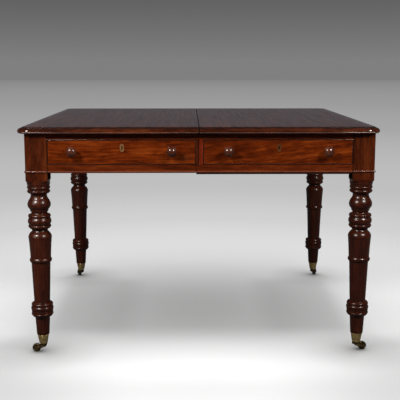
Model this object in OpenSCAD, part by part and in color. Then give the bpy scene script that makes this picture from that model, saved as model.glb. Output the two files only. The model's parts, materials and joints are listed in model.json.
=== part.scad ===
/* [Table] */
// Width of the closed top, left to right
table_w = 1165; // [1000:5:1400]
// Depth of the top, front to back
table_d = 1100; // [900:5:1250]
// Height of the top above the floor
table_h = 755; // [720:1:790]
// How far the top reaches past the leg blocks, front and back
overhang = 20; // [12:1:26]
// How far the top reaches past the leg blocks, as a mean of left and right
overhang_side = 21.5; // [14:0.5:28]
// The frame sits this far to the right of the middle of the top
frame_shift = 4; // [0:0.5:6]
// Gap between the two halves along the seam
seam_gap = 1.2; // [0.6:0.1:2]

/* [Top] */
// Thickness of the top
top_t = 20; // [16:1:26]
// Radius of the outer corners in plan
corner_r = 45; // [30:1:60]
// Radius of the round nose at the foot of the moulded edge
nose_r = 7; // [5:0.5:7.5]
// Width of the sloping thumb of the moulded edge
thumb_w = 15; // [8:1:20]
// Small square step between the thumb and the flat of the top
edge_step = 1.4; // [0.5:0.1:2]
// Radius of the pegs that line the two halves up
peg_r = 4.5; // [3:0.5:5]
// How far a peg reaches past the seam
peg_reach = 12; // [8:1:16]
// Distance of the outer pegs from the middle one
peg_pitch = 340; // [200:10:400]

/* [Legs] */
// Side of the square leg block
block = 70; // [64:1:76]
// Height of the leg block under the top, with its turned shoulder
block_h = 160; // [150:1:170]
// Height of the turned shoulder at the foot of the block
pommel_h = 9; // [5:1:12]
// Radius of the bead that runs round the block and along the rails
band_r = 3.5; // [2.5:0.5:4.5]
// Radius of the leg just above its castor cup
ankle_r = 20.9; // [20:0.1:22]

/* [Frame] */
// Height of the frieze under the top
frieze_h = 127; // [120:1:140]
// Thickness of the rails
rail_t = 22; // [18:1:26]
// How far the rails stand back from the face of the leg blocks
rail_recess = 3; // [0:0.5:5]
// Height of the rail above the drawers
upper_rail_h = 18.5; // [14:0.5:20]
// Height of the rail below the drawers
lower_rail_h = 26.5; // [26:0.5:36]
// How far the bead stands out from the rails
rail_bead_out = 2; // [1:0.5:3]
// Thickness of the tenons
tenon_t = 8; // [6:1:10]
// Length of the tenons
tenon_l = 28; // [20:1:30]
// Width of the stile beside the seam on the left half
stile_w_left = 9; // [8:0.2:14]
// Width of the stile beside the seam on the right half
stile_w_right = 11.8; // [8:0.2:14]
// How far the right half's lower rail laps past the seam
rail_lap = 9; // [5:0.5:9]
// Thickness of the boards inside the frame
board_t = 20; // [16:1:24]

/* [Extending slides] */
// How far the right half draws out
draw_out = 457; // [300:1:460]
// Width of the bearers that hold the slide bars
bearer_w = 44; // [38:1:50]
// Thickness of the slide bars
bar_h = 13.8; // [12:0.2:15]
// Width of the slide bars
bar_w = 24; // [20:1:28]
// Gap between the ends of the slide bars and the leg blocks
bar_end = 21; // [5:1:40]
// Radius of the pegs that stop the slide bars
stop_r = 4; // [3:0.5:5]
// Distance of the stop pegs from the seam
stop_in = 100; // [60:5:120]
// Thickness of the strip under the right half
strip_t = 4.8; // [3:0.2:6]
// Width of the strip under the right half
strip_w = 24; // [16:1:28]

/* [Drawers] */
// Thickness of the drawer fronts
front_t = 20; // [18:1:24]
// How far a drawer pulls out
drawer_out = 360; // [200:5:400]
// Thickness of the drawer sides
side_t = 11; // [9:1:14]
// Thickness of the drawer bottoms
bottom_t = 6; // [5:0.5:8]
// Thickness of the cock bead round a drawer front
bead_t = 3; // [2:0.5:4]
// How far the cock bead stands out from the drawer front
bead_out = 1.5; // [1:0.25:2.5]
// Distance of the outer knobs from the ends of the drawer fronts
knob_inset = 80; // [60:1:110]
// Distance of the left drawer's inner knob from the end of its front
knob_inset_left = 77; // [60:1:110]
// Distance of the right drawer's inner knob from the end of its front
knob_inset_right = 82; // [60:1:110]
// Radius of the knob's head
knob_r = 17; // [15:0.5:22]
// How far a knob stands out from the drawer front
knob_reach = 33; // [28:1:38]
// Height of the knobs above the foot of the drawer front
knob_up = 43; // [34:1:46]

/* [Locks] */
// Height of the keyhole above the foot of the drawer front
keyhole_up = 57; // [50:1:59]
// How far the left keyhole lies to the right of the middle of its drawer front
key_shift_left = 1.5; // [-5:0.5:5]
// How far the right keyhole lies to the right of the middle of its drawer front
key_shift_right = 3.5; // [-5:0.5:5]
// Width of the keyhole plate
scutcheon_w = 13; // [11:0.5:16]
// Height of the keyhole plate
scutcheon_h = 26; // [22:1:30]
// Radius of the round part of the keyhole
keyhole_r = 2.6; // [2:0.1:3]
// Width of the lock case
lock_w = 52; // [40:1:60]
// Width of the lock's bolt
bolt_w = 16; // [10:1:20]
// How far the bolt is thrown
bolt_throw = 7; // [5:0.5:8]

/* [Castors] */
// Radius of the wheel
wheel_r = 14; // [12:0.5:15]
// Width of the wheel
wheel_w = 11; // [9:0.5:13]
// Distance from the swivel's axis to the wheel's axle
trail = 23; // [21:0.5:25]
// Radius of the axle
axle_r = 2.5; // [2:0.1:3]
// Radius of the swivel's pintle
pintle_r = 3; // [2.5:0.1:3.5]
// Radius at the mouth of the brass cup
cup_r = 19.5; // [18.5:0.1:20.5]
// Height of the brass cup
cup_h = 32; // [28:1:36]
// Wall of the brass cup
cup_wall = 1.6; // [1.2:0.1:2]

/* [Hidden] */
$fn = 96;
// Clearance between pieces that move past each other
run = 0.3;
// Radial clearance of a turning fit
fit = 0.06;
// Clearance round a glued or pressed piece that stays its own solid
snug = 0.02;

// Places along the depth, with the middle of the footprint at zero
knob_proud = max(0, knob_reach - overhang - rail_recess);
y_mid = knob_proud / 2;
y_top = [y_mid - table_d / 2, y_mid + table_d / 2];
y_block = [y_top[0] + overhang, y_top[1] - overhang];
y_rail = [y_block[0] + rail_recess, y_block[1] - rail_recess];
y_rail_in = [y_rail[0] + rail_t, y_rail[1] - rail_t];
y_leg = [y_block[0] + block / 2, y_block[1] - block / 2];
bead_in = band_r - rail_bead_out;
bead_y = [y_rail[0] + bead_in, y_rail[1] - bead_in];

// Length of drawer that stays on its runners when it is pulled right out
drawer_hold = 110;
drawer_l = drawer_out + drawer_hold;
y_mid_rail = y_rail[0] + drawer_l + run;

// Places across the width, for the left half and the right half
sides = [-1, 1];
x_end = table_w / 2;
x_leg = [for (s = sides) frame_shift + s * (table_w / 2 - overhang_side - block / 2)];
x_block = [for (i = [0, 1]) x_leg[i] - sides[i] * block / 2];
x_rail = [for (i = [0, 1]) x_leg[i] + sides[i] * (block / 2 - rail_recess)];
x_rail_in = [for (i = [0, 1]) x_rail[i] - sides[i] * rail_t];
bead_x = [for (i = [0, 1]) x_rail[i] - sides[i] * bead_in];
x_seam = [for (s = sides) s * seam_gap / 2];
x_stile = [x_seam[0] - stile_w_left, x_seam[1] + stile_w_right];

// Heights
z_top = table_h - top_t;
z_frieze = z_top - frieze_h;
z_block = z_top - block_h;
z_open = [z_frieze + lower_rail_h, z_top - upper_rail_h];
bearer_clear = run;
runner_t = 8;
z_bearer = [z_frieze + bearer_clear, z_open[0] - runner_t];
z_bar = z_bearer[1] - run - bar_h;
band_z = z_frieze + 4.5;

// Slide bars and their stop pegs
bar_x = [x_block[0] + bar_end, x_block[1] - bar_end];
stop_x = [for (i = [0, 1]) x_seam[i] + sides[i] * stop_in];

// Drawer sizes
drawer_gap = 0.6;
bead_depth = 8;
drawer_x = [for (i = [0, 1]) [x_block[i] - sides[i] * drawer_gap, x_stile[i] + sides[i] * drawer_gap]];
drawer_z = [z_open[0] + drawer_gap, z_open[1] - drawer_gap];
side_z = [z_open[0] + run, drawer_z[1] - 6];
floor_z = drawer_z[0] + 10;
groove = 5;
lip = 8;
knob_stem_r = 6;

// Lock sizes
lock_t = front_t - 10;
lock_drop = 42;
bolt_l = 20;
bolt_t = 4;
bolt_sink = 0.4;
keyhole_drop = 9;

// Castor sizes
cup_foot = 2 * wheel_r + 2;
cup_top = cup_foot + cup_h;
cup_floor = 4;
plate_r = 11;
plate_t = 3.4;
plate_z = cup_foot - run;
cheek_t = 2.6;
cheek_gap = 0.6;
tail_x = -6;
// Turn of each castor at rest, as the photograph shows it: front left, front right, rear left, rear right
swivel = [180, 18, 118, 64];

// A board between two opposite corners, given in any order
module board(a, b) {
  lo = [for (k = [0:2]) min(a[k], b[k])];
  hi = [for (k = [0:2]) max(a[k], b[k])];
  translate(lo) cube(hi - lo);
}

// Points on the arc from a to b that swells by s away from the axis, without b itself
function arc_points(a, b, s, steps = 8) =
  s == 0 ? [a] :
  let (chord = norm(b - a), u = (b - a) / chord, n = (u[1] < 0 ? 1 : -1) * [-u[1], u[0]],
       half = 2 * atan(2 * s / chord), r = chord / 2 / sin(half), mid = (a + b) / 2)
  [for (k = [0:steps - 1]) let (t = half * (2 * k / steps - 1)) mid + u * r * sin(t) + n * r * (cos(t) - cos(half))];

// An outline through stations [radius, height, swell of the arc to the next station]
function turned(stations) = [for (k = [0:len(stations) - 1])
  each (k == len(stations) - 1 ? [[stations[k][0], stations[k][1]]] :
    arc_points([stations[k][0], stations[k][1]], [stations[k + 1][0], stations[k + 1][1]], stations[k][2]))];

// Moulded edge of the top: a round nose below, a sloping thumb above and a small step
module edge_outline() {
  nose = [corner_r - nose_r, nose_r];
  rise = top_t - edge_step - nose_r;
  polygon(concat(
    [[0, 0]],
    [for (t = [-90:15:0]) nose + nose_r * [cos(t), sin(t)]],
    [for (t = [10:10:90]) [corner_r - thumb_w * (1 - cos(t)), nose_r + rise * sin(t)]],
    [[corner_r - thumb_w, top_t], [0, top_t]]
  ));
}

// One half of the top, on the side i
module top_half(i) {
  s = sides[i];
  x_in = s * (x_end - corner_r);
  color("#4a2019") difference() {
    union() {
      board([x_seam[i], y_top[0] + corner_r, z_top], [x_in, y_top[1] - corner_r, table_h]);
      translate([x_in, y_top[1] - corner_r, z_top]) rotate([90, 0, 0])
        linear_extrude(table_d - 2 * corner_r) mirror([i == 0 ? 1 : 0, 0]) edge_outline();
      for (e = [0, 1]) {
        y_in = e == 0 ? y_top[0] + corner_r : y_top[1] - corner_r;
        translate([min(x_seam[i], x_in), y_in, z_top]) rotate([90, 0, 90])
          linear_extrude(abs(x_in - x_seam[i])) mirror([e == 0 ? 1 : 0, 0]) edge_outline();
        translate([x_in, y_in, z_top]) mirror([i == 0 ? 1 : 0, 0, 0]) mirror([0, e == 0 ? 1 : 0, 0])
          rotate_extrude(angle = 90) edge_outline();
      }
    }
    peg_places() cylinder(h = 2 * (peg_reach + 2), r = peg_r + (i == 0 ? 0 : 0.1), center = true);
  }
}

module peg_places() {
  for (k = [-1, 0, 1]) translate([0, y_mid + k * peg_pitch, z_top + top_t / 2]) rotate([0, 90, 0]) children();
}

module leaf_pegs() {
  color("#b08d57") peg_places() translate([0, 0, x_seam[0] - peg_reach])
    cylinder(h = 2 * peg_reach - x_seam[0], r = peg_r);
}

// The turner's pattern of a leg: radius, height and swell of each curve.
// The upper part hangs from the block and the lower part stands on the floor.
foot_clear = 0.15;
upper_pattern = [for (p = [
  [37.5, 0, 0], [37.5, 5, -0.6], [36, 12, 0], [35.2, 13, 2.2], [35.2, 21, 0], [34.4, 23, 0],
  [34.4, 25, 3.2], [34, 34, 0], [33.4, 35, -1.6], [26, 42, -0.7], [30, 54, 1.2], [37.6, 71, 2.2],
  [30.4, 88, 0], [30, 91, 0], [29.2, 92, 0], [29.2, 95, -0.8], [25.6, 100, -0.8], [30.5, 105, 0],
  [34, 105.5, 2.6], [34, 116, 0], [34.6, 118, 3.6], [34.6, 138, 0], [34.2, 140, 2.8], [34.2, 149, 0],
  [33.4, 151, -1.4], [25.2, 158, -0.5], [29, 164, 1.4], [37.6, 178, 0.5], [37.5, 184, -0.4],
  [33.4, 249, 0], [34, 252, 2.4], [34, 264, 0], [31.2, 266, 0], [30.8, 272, 0]
]) [p[0], z_block - p[1], p[2]]];
lower_pattern = [
  [26, 178, 0], [30.5, 176, 3.4], [34, 163, 0], [34, 161.5, 2.9], [34, 147, 0], [35.4, 146, -0.5],
  [35.2, 135, 0], [35.2, 134, 1.4], [34.6, 128, 1.6], [24.6, 118, 0], [24, 117, -0.2]
];

module leg(i, e) {
  foot = [
    [ankle_r, cup_top + 2, 0], [ankle_r - 0.8, cup_top + run, 0], [foot_r(cup_top + run), cup_top + run, 0],
    [foot_r(cup_foot + cup_floor), cup_foot + cup_floor, 0], [0, cup_foot + cup_floor, 0]
  ];
  color("#3d1710") translate([x_leg[i], y_leg[e], 0]) difference() {
    union() {
      intersection() {
        translate([-block / 2, -block / 2, z_block]) cube([block, block, block_h]);
        rotate_extrude() polygon([[0, z_block], [upper_pattern[0][0], z_block],
          [block * 0.72, z_block + pommel_h], [block * 0.72, z_top], [0, z_top]]);
      }
      rotate_extrude() polygon(turned(concat([[0, z_block, 0]], upper_pattern, lower_pattern, foot)));
      mirror([i == 0 ? 0 : 1, 0, 0]) mirror([0, e == 0 ? 0 : 1, 0]) translate([-block / 2, -block / 2, band_z]) {
        rotate([0, 90, 0]) cylinder(h = block, r = band_r);
        rotate([-90, 0, 0]) cylinder(h = block, r = band_r);
        sphere(r = band_r);
      }
    }
    pintle_pocket();
    translate([-x_leg[i], -y_leg[e], 0]) tenons(i, snug);
    translate([0, 0, screw_z]) rotate([90, 0, 0]) cylinder(h = cup_r, r = screw_shank_r + snug);
  }
}

// Radius of the foot inside the cup at a height
function foot_r(z) = cup_outer(z) - cup_wall - foot_clear;

// Outer radius of the cup at a height, a straight taper
function cup_outer(z) = cup_r - (cup_top - z) * 0.18;

// Room in the foot for the riveted head of the pintle
module pintle_pocket() {
  translate([0, 0, cup_foot]) cylinder(h = cup_floor + 6, r = pintle_r + 3);
}

// Tenons of every rail that meets the leg blocks of one half, grown by a clearance
module tenons(i, grow = 0) {
  s = sides[i];
  for (e = [0, 1]) {
    y = e == 0 ? y_rail[0] + rail_t / 2 : y_rail[1] - rail_t / 2;
    zs = e == 0 ? [[z_frieze + 6, z_open[0] - 5], [z_open[1] + 4, z_top - 4]] : [[z_frieze + 12, z_top - 14]];
    for (z = zs) board([x_block[i] - s * 1, y - tenon_t / 2 - grow, z[0] - grow],
      [x_block[i] + s * (tenon_l + grow), y + tenon_t / 2 + grow, z[1] + grow]);
    x = x_rail[i] - s * rail_t / 2;
    y_in = e == 0 ? y_block[0] + block : y_block[1] - block;
    d = e == 0 ? -1 : 1;
    board([x - tenon_t / 2 - grow, y_in - d * 1, z_frieze + 12 - grow],
      [x + tenon_t / 2 + grow, y_in + d * (tenon_l + grow), z_top - 14 + grow]);
  }
}

// The part of the tenons that belongs to one rail, picked out by a box
module tenon_in(i, a, b) {
  intersection() {
    tenons(i);
    board(a, b);
  }
}

// Rounded bead along the foot of a rail, from a to b on the axis of its curve
module rail_bead(a, b) {
  d = b - a;
  translate(a) rotate([0, 90, atan2(d[1], d[0])]) cylinder(h = norm(d), r = band_r);
}

module front_rail_upper(i) {
  s = sides[i];
  color("#4c1c10") difference() {
    union() {
      board([x_block[i], y_rail[0], z_open[1]], [x_seam[i], y_rail_in[0], z_top]);
      tenon_in(i, [x_block[i] + s * block, y_rail[0], z_open[1]], [x_block[i] - s * 1, y_rail_in[0], z_top]);
    }
    bolt_space(i, bolt_sink, 0, bolt_throw + 2);
  }
}

// The two lower rails are half-lapped at the seam: the right one passes in front of the left one
module front_rail_lower(i) {
  s = sides[i];
  x_lap = i == 0 ? -rail_lap - seam_gap : -rail_lap;
  y_lap = y_rail[0] + rail_t / 2;
  color("#6b2a12") union() {
    board([x_block[i], y_rail[0], z_frieze], [i == 0 ? x_lap : x_seam[1], y_rail_in[0], z_open[0]]);
    if (i == 0) board([x_lap - 1, y_lap + run, z_frieze + run], [x_seam[0], y_rail_in[0], z_open[0]]);
    if (i == 1) board([x_lap, y_rail[0], z_frieze], [x_seam[1] + 1, y_lap, z_open[0]]);
    tenon_in(i, [x_block[i] + s * block, y_rail[0], z_frieze], [x_block[i] - s * 1, y_rail_in[0], z_open[0]]);
    rail_bead([min(x_block[i], x_lap), bead_y[0], band_z], [max(x_block[i], x_lap), bead_y[0], band_z]);
  }
}

module end_rail(i) {
  s = sides[i];
  y0 = y_block[0] + block;
  y1 = y_block[1] - block;
  color("#5a2213") union() {
    board([x_rail[i], y0, z_frieze], [x_rail_in[i], y1, z_top]);
    tenon_in(i, [x_rail[i], y0 - block, z_frieze], [x_rail_in[i], y0 + 1, z_top]);
    tenon_in(i, [x_rail[i], y1 + block, z_frieze], [x_rail_in[i], y1 - 1, z_top]);
    rail_bead([bead_x[i], y0, band_z], [bead_x[i], y1, band_z]);
  }
}

module rear_rail(i) {
  s = sides[i];
  color("#5a2213") union() {
    board([x_block[i], y_rail[1], z_frieze], [x_seam[i], y_rail_in[1], z_top]);
    tenon_in(i, [x_block[i] + s * block, y_rail[1], z_frieze], [x_block[i] - s * 1, y_rail_in[1], z_top]);
    rail_bead([min(x_block[i], x_seam[i]), bead_y[1], band_z], [max(x_block[i], x_seam[i]), bead_y[1], band_z]);
  }
}

// Cross rail behind the drawer, which also stops it
module mid_rail(i) {
  color("#8a6a45")
    board([x_rail_in[i], y_mid_rail, z_bearer[1]], [x_stile[i], y_mid_rail + board_t, z_top]);
}

module centre_stile(i) {
  color(i == 0 ? "#4a2418" : "#7a2415")
    board([x_seam[i], y_rail[0], z_open[0] + (i == 0 ? run : 0)], [x_stile[i], y_rail_in[0], z_open[1]]);
}

// Upright board beside the seam that ties front to back and guides the drawer
module centre_guide(i) {
  color("#8a6a45") board([x_seam[i], y_rail_in[0], z_bearer[1]], [x_stile[i], y_rail_in[1], z_top]);
}

// Runners under the drawer sides; the outer one is rebated to guide the drawer too
module drawer_runners(i) {
  s = sides[i];
  w = side_t + 6;
  guide_h = 20;
  z0 = z_bearer[1];
  color("#8a6a45") {
    board([x_stile[i], y_rail_in[0], z0], [x_stile[i] + s * w, y_mid_rail, z_open[0]]);
    union() {
      board([x_block[i] + s * 1, y_block[0] + block, z0], [x_block[i] - s * 1, y_mid_rail, z_open[0]]);
      board([x_block[i], y_rail_in[0], z0], [x_block[i] - s * w, y_mid_rail, z_open[0]]);
      board([x_rail_in[i], y_block[0] + block, z0], [x_block[i], y_mid_rail, z_open[0] + guide_h]);
    }
  }
}

// Kickers above the drawer sides keep an open drawer from tipping
module drawer_kickers(i) {
  s = sides[i];
  w = side_t + 6;
  color("#8a6a45") {
    board([x_stile[i], y_rail_in[0], z_open[1]], [x_stile[i] + s * w, y_mid_rail, z_top]);
    board([x_block[i], y_rail_in[0], z_open[1]], [x_block[i] - s * w, y_mid_rail, z_top]);
  }
}

// Middle of the slide bars, front and rear
function bar_y(e) = e == 0 ? y_rail_in[0] + bearer_w / 2 : y_rail_in[1] - bearer_w / 2;

// Troughs under the drawers, in which the slide bars run,
// with a peg standing in the floor of each that stops its bar
module slide_bearers(i) {
  color("#7a5a3a") for (e = [0, 1]) {
    difference() {
      board([x_seam[i], bar_y(e) - bearer_w / 2, z_bearer[0]], [x_block[i], bar_y(e) + bearer_w / 2, z_bearer[1]]);
      board([x_seam[i] - sides[i] * 1, bar_y(e) - bar_w / 2 - run, z_bar - run],
        [x_block[i] + sides[i] * 1, bar_y(e) + bar_w / 2 + run, z_bearer[1] + 1]);
      stop_peg(i, e, snug);
    }
    stop_peg(i, e);
  }
}

module stop_peg(i, e, grow = 0) {
  translate([stop_x[i], bar_y(e), z_bearer[0] - grow]) cylinder(h = z_bar + bar_h - z_bearer[0], r = stop_r + grow);
}

// Slide bars, each with two slots as long as a half moves along the bar
module slide_bar(e) {
  w = stop_r + run;
  color("#9a7448") difference() {
    board([bar_x[0], bar_y(e) - bar_w / 2, z_bar], [bar_x[1], bar_y(e) + bar_w / 2, z_bar + bar_h]);
    for (i = [0, 1]) {
      far = stop_x[i] + sides[i] * draw_out / 2;
      board([stop_x[i], bar_y(e) - w, z_bar - 1], [far, bar_y(e) + w, z_bar + bar_h + 1]);
      for (x = [stop_x[i], far]) translate([x, bar_y(e), z_bar - 1]) cylinder(h = bar_h + 2, r = w);
    }
  }
}

// Dark strips under the right half that lap under the left half
module lap_strips() {
  color("#17100d") for (e = [0, 1]) {
    y = e == 0 ? y_rail[0] + rail_recess : y_rail[1] - rail_recess - strip_w;
    board([x_seam[1], y, z_frieze - strip_t], [x_block[1], y + strip_w, z_frieze]);
    board([-rail_lap, y, z_frieze - strip_t], [x_seam[1], y + strip_w, z_frieze - run]);
  }
}

// Blocks glued into the corner between the top and the rails
module glue_blocks(i) {
  s = sides[i];
  size = 20;
  length = 60;
  y0 = y_mid_rail + board_t;
  y1 = y_block[1] - block;
  color("#9a7448") {
    for (k = [0.25, 0.75]) {
      y = y0 + k * (y1 - y0) - length / 2;
      board([x_rail_in[i], y, z_top - size], [x_rail_in[i] - s * size, y + length, z_top]);
      x = x_block[i] + k * (x_stile[i] - x_block[i]) - length / 2;
      board([x, y_rail_in[1], z_top - size], [x + length, y_rail_in[1] - size, z_top]);
    }
  }
}

function key_x(i) = (drawer_x[i][0] + drawer_x[i][1]) / 2 + (i == 0 ? key_shift_left : key_shift_right);

// Keyhole with its round top and straight slot, cut along the depth from y0 to y1
module keyhole(i, y0, y1, grow = 0) {
  translate([key_x(i), y1, drawer_z[0] + keyhole_up]) rotate([90, 0, 0])
    linear_extrude(y1 - y0) {
      circle(r = keyhole_r + grow);
      translate([-keyhole_r / 2 - grow, -keyhole_drop - grow])
        square([keyhole_r + 2 * grow, keyhole_drop + grow]);
    }
}

// Space of the lock's bolt, with side clearance and extra length below and above
module bolt_space(i, clear, below, above) {
  translate([key_x(i) - bolt_w / 2 - clear, y_rail[0] + front_t - lock_t + 3 - clear,
      drawer_z[1] - bolt_sink - bolt_l - below])
    cube([bolt_w + 2 * clear, bolt_t + 2 * clear, bolt_l + below + above]);
}

module drawer_front(i) {
  x = drawer_x[i];
  s = sides[i];
  lap = side_t + lip;
  color("#7a3214") difference() {
    board([x[0], y_rail[0], drawer_z[0]], [x[1], y_rail[0] + front_t, drawer_z[1]]);
    cock_bead_frame(i, snug);
    for (k = knob_x(i)) translate([k, y_rail[0] - 1, drawer_z[0] + knob_up]) rotate([-90, 0, 0])
      cylinder(h = front_t + 2, r = knob_stem_r + snug);
    keyhole(i, y_rail[0] - 1, y_rail[0] + front_t + 1);
    escutcheon_plate(i, y_rail[0] - 1, snug);
    lock_box(i, snug);
    for (k = [0, 1]) drawer_side_board(i, k, snug);
    board([x[0] - s * groove, y_rail[0] + front_t - groove - snug, floor_z - snug],
      [x[1] + s * groove, y_rail[0] + front_t + 1, floor_z + bottom_t + snug]);
  }
}

// Square frame of thin strips let into the edges of the drawer front
module cock_bead_frame(i, grow = 0) {
  x = drawer_x[i];
  s = sides[i];
  y0 = y_rail[0] - bead_out;
  y1 = y_rail[0] + bead_depth + grow;
  t = bead_t + grow;
  difference() {
    board([x[0] + s * grow, y0, drawer_z[0] - grow], [x[1] - s * grow, y1, drawer_z[1] + grow]);
    board([x[0] - s * t, y0 - 1, drawer_z[0] + t], [x[1] + s * t, y1 + 1, drawer_z[1] - t]);
  }
}

module cock_beads(i) {
  color("#8a4a22") cock_bead_frame(i);
}

// Side board k of a drawer: 0 is the outer one, 1 the one beside the seam
module drawer_side_board(i, k, grow = 0) {
  s = sides[i] * (k == 0 ? -1 : 1);
  x = drawer_x[i][k];
  board([x - s * grow, y_rail[0] + lip - grow, side_z[0] - grow],
    [x + s * (side_t + grow), y_rail[0] + drawer_l, side_z[1] + grow]);
}

module drawer_sides(i) {
  s = sides[i];
  color("#a5824f") for (k = [0, 1]) difference() {
    drawer_side_board(i, k);
    drawer_floor(i, snug);
    drawer_back_board(i, snug);
  }
}

module drawer_floor(i, grow = 0) {
  s = sides[i];
  x = drawer_x[i];
  w = side_t - groove - grow;
  board([x[0] - s * w, y_rail[0] + front_t - groove, floor_z - grow],
    [x[1] + s * w, y_rail[0] + drawer_l + (grow > 0 ? 1 : 0), floor_z + bottom_t + grow]);
}

module drawer_bottom(i) {
  color("#b5935c") drawer_floor(i);
}

// The back is housed between the sides and stands on the bottom
module drawer_back_board(i, grow = 0) {
  s = sides[i];
  x = drawer_x[i];
  w = side_t - groove - grow;
  y1 = y_rail[0] + drawer_l - 12;
  board([x[0] - s * w, y1 - side_t - grow, floor_z + bottom_t], [x[1] + s * w, y1 + grow, side_z[1] - 5 + grow]);
}

module drawer_back(i) {
  color("#a5824f") drawer_back_board(i);
}

function knob_x(i) = [
  drawer_x[i][0] - sides[i] * knob_inset,
  drawer_x[i][1] + sides[i] * (i == 0 ? knob_inset_left : knob_inset_right)
];

// Turned knobs with their stems, which pass through the drawer front
module knobs(i) {
  neck = knob_r * 0.46;
  head = knob_reach - 9;
  profile = [
    [0, -front_t, 0], [knob_stem_r, -front_t, 0], [knob_stem_r, 0, 0], [knob_r * 0.66, 0, 0.8],
    [knob_r * 0.62, 4, 0], [neck + 1, 5, -1], [neck, head - 14.5, -1.4], [knob_r * 0.81, head - 9.8, 0.9],
    [knob_r, head - 3.5, 0.6], [knob_r * 0.82, head + 2.5, 1.75], [0, knob_reach, 0]
  ];
  color("#4a1a10") for (k = knob_x(i)) translate([k, y_rail[0], drawer_z[0] + knob_up]) rotate([90, 0, 0])
    rotate_extrude() polygon(turned(profile));
}

// Outer shape of the keyhole plate, with half-round ends, from y0 to its seat in the drawer front
module escutcheon_plate(i, y0, grow = 0) {
  seat = y_rail[0] + 2 + grow;
  straight = scutcheon_h - scutcheon_w;
  keyhole_mid = (keyhole_r - keyhole_drop) / 2;
  translate([key_x(i), seat, drawer_z[0] + keyhole_up]) rotate([90, 0, 0])
    linear_extrude(seat - y0) {
      for (end = [-1, 1]) translate([0, keyhole_mid + end * straight / 2]) circle(r = scutcheon_w / 2 + grow);
      translate([-scutcheon_w / 2 - grow, keyhole_mid - straight / 2]) square([scutcheon_w + 2 * grow, straight]);
    }
}

module escutcheon(i) {
  color("#c9a24a") difference() {
    escutcheon_plate(i, y_rail[0] - 0.5);
    keyhole(i, y_rail[0] - 2, y_rail[0] + 3);
  }
}

// Outer box of the lock, let into the back of the drawer front
module lock_box(i, grow = 0) {
  x = key_x(i);
  board([x - lock_w / 2 - grow, y_rail[0] + front_t - lock_t - grow, drawer_z[1] - lock_drop - grow],
    [x + lock_w / 2 + grow, y_rail[0] + front_t + grow, drawer_z[1] + grow]);
}

module lock_case(i) {
  color("#b8923f") difference() {
    lock_box(i);
    bolt_space(i, run, 1, bolt_throw + 3);
    keyhole(i, y_rail[0] + front_t - lock_t - 1, y_rail[0] + front_t - lock_t + 3, 0.4);
  }
}

module lock_bolt(i) {
  color("#c9a24a") bolt_space(i, 0, 0, 0);
}

// Small brass screw in the front of each cup
screw_shank_r = 1.6;
screw_head_r = 2.6;
screw_head_t = 0.9;
screw_l = 12;
screw_z = cup_top - 6;

// Tapered brass sockets over the feet, each with its fixing screw
module castor_cups(i) {
  screw_seat = cup_outer(screw_z + screw_head_r) + snug;
  color("#b8923f") for (e = [0, 1]) translate([x_leg[i], y_leg[e], 0]) {
    difference() {
      rotate_extrude() polygon([
        [pintle_r + fit, cup_foot], [cup_outer(cup_foot) - 1, cup_foot], [cup_outer(cup_foot + 1), cup_foot + 1],
        [cup_outer(cup_top), cup_top], [foot_r(cup_top) + foot_clear, cup_top],
        [foot_r(cup_foot + cup_floor) + foot_clear, cup_foot + cup_floor], [pintle_r + fit, cup_foot + cup_floor]
      ]);
      translate([0, 0, screw_z]) rotate([90, 0, 0]) cylinder(h = cup_r + 1, r = screw_shank_r + snug);
    }
    translate([0, -screw_seat - screw_head_t, screw_z]) rotate([-90, 0, 0]) {
      cylinder(h = screw_l, r = screw_shank_r);
      cylinder(h = screw_head_t, r = screw_head_r);
    }
  }
}

// Places a castor piece under its leg, turned as it stands
module castor_at(i, e) {
  translate([x_leg[i], y_leg[e], 0]) rotate(swivel[i + 2 * e]) children();
}

// Swivelling fork: pintle, plate, two cheeks, and the axle riveted through them
module castor_horn(i, e) {
  cheek_in = wheel_w / 2 + cheek_gap;
  cheek_out = cheek_in + cheek_t;
  boss_r = 5.4;
  tail_r = 4.4;
  tail_z = plate_z - plate_t - tail_r + 1;
  lean = atan2(tail_z - wheel_r, trail - tail_x);
  up = [sin(lean), cos(lean)];
  color("#9a7a34") castor_at(i, e) {
    difference() {
      union() {
        translate([0, 0, plate_z - plate_t]) cylinder(h = plate_t, r = plate_r);
        translate([0, 0, plate_z - 1]) cylinder(h = cup_floor + 2.6 + run, r = pintle_r);
        translate([0, 0, cup_foot + cup_floor + run]) cylinder(h = 1.8, r = pintle_r + 1.8);
        translate([-plate_r, -cheek_out, tail_z]) cube([plate_r + 7, 2 * cheek_out, plate_z - plate_t - tail_z + 1]);
        for (s = [-1, 1]) translate([0, s > 0 ? cheek_out : -cheek_in, 0]) rotate([90, 0, 0])
          linear_extrude(cheek_t) {
            translate([trail, wheel_r]) circle(r = boss_r);
            translate([tail_x, tail_z]) circle(r = tail_r);
            polygon([[trail, wheel_r] + boss_r * up, [tail_x, tail_z] + tail_r * up,
              [tail_x, tail_z] - tail_r * up, [trail, wheel_r] - boss_r * up]);
          }
      }
      translate([trail, 0, wheel_r]) rotate([90, 0, 0])
        cylinder(h = 3 * cheek_out, r = axle_r + snug, center = true);
    }
    translate([trail, 0, wheel_r]) rotate([90, 0, 0]) {
      cylinder(h = 2 * cheek_out + 0.4, r = axle_r, center = true);
      for (s = [-1, 1]) translate([0, 0, s * (cheek_out + 0.7)]) cylinder(h = 1, r = axle_r + 1.2, center = true);
    }
  }
}

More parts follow.
